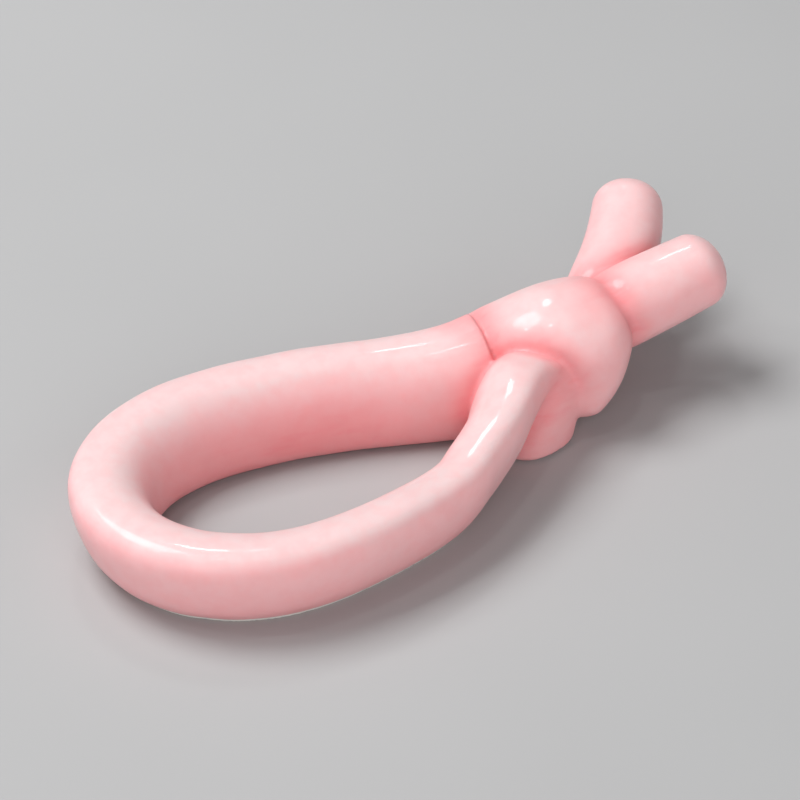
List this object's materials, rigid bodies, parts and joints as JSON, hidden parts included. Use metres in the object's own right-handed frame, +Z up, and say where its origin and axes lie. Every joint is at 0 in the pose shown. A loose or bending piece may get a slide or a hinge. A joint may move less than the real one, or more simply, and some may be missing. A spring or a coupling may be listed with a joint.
{
  "type": "knotted cord chopstick rest",
  "caption": "Glazed porcelain chopstick rest moulded as a cord tied in an overhand knot: a flat teardrop loop, a raised knot and short rising tails.",
  "frame": {"origin": "on the table plane, under the middle of the overall box", "axes": "+X from the loop towards the tails, +Y towards the side of the back tail, +Z up from the table"},
  "size_m": [0.0744, 0.0344, 0.0155],
  "materials": {
    "pink_glaze": "glossy pale pink glaze, redder where it pools in the creases",
    "bare_porcelain": "matte unglazed white porcelain"
  },
  "bodies": {
    "root": {"loop": "pink_glaze", "wrap_band": "pink_glaze", "under_turn": "pink_glaze", "back_tail": "pink_glaze", "front_tail": "pink_glaze", "bare_foot": "bare_porcelain"}
  },
  "joints": []
}
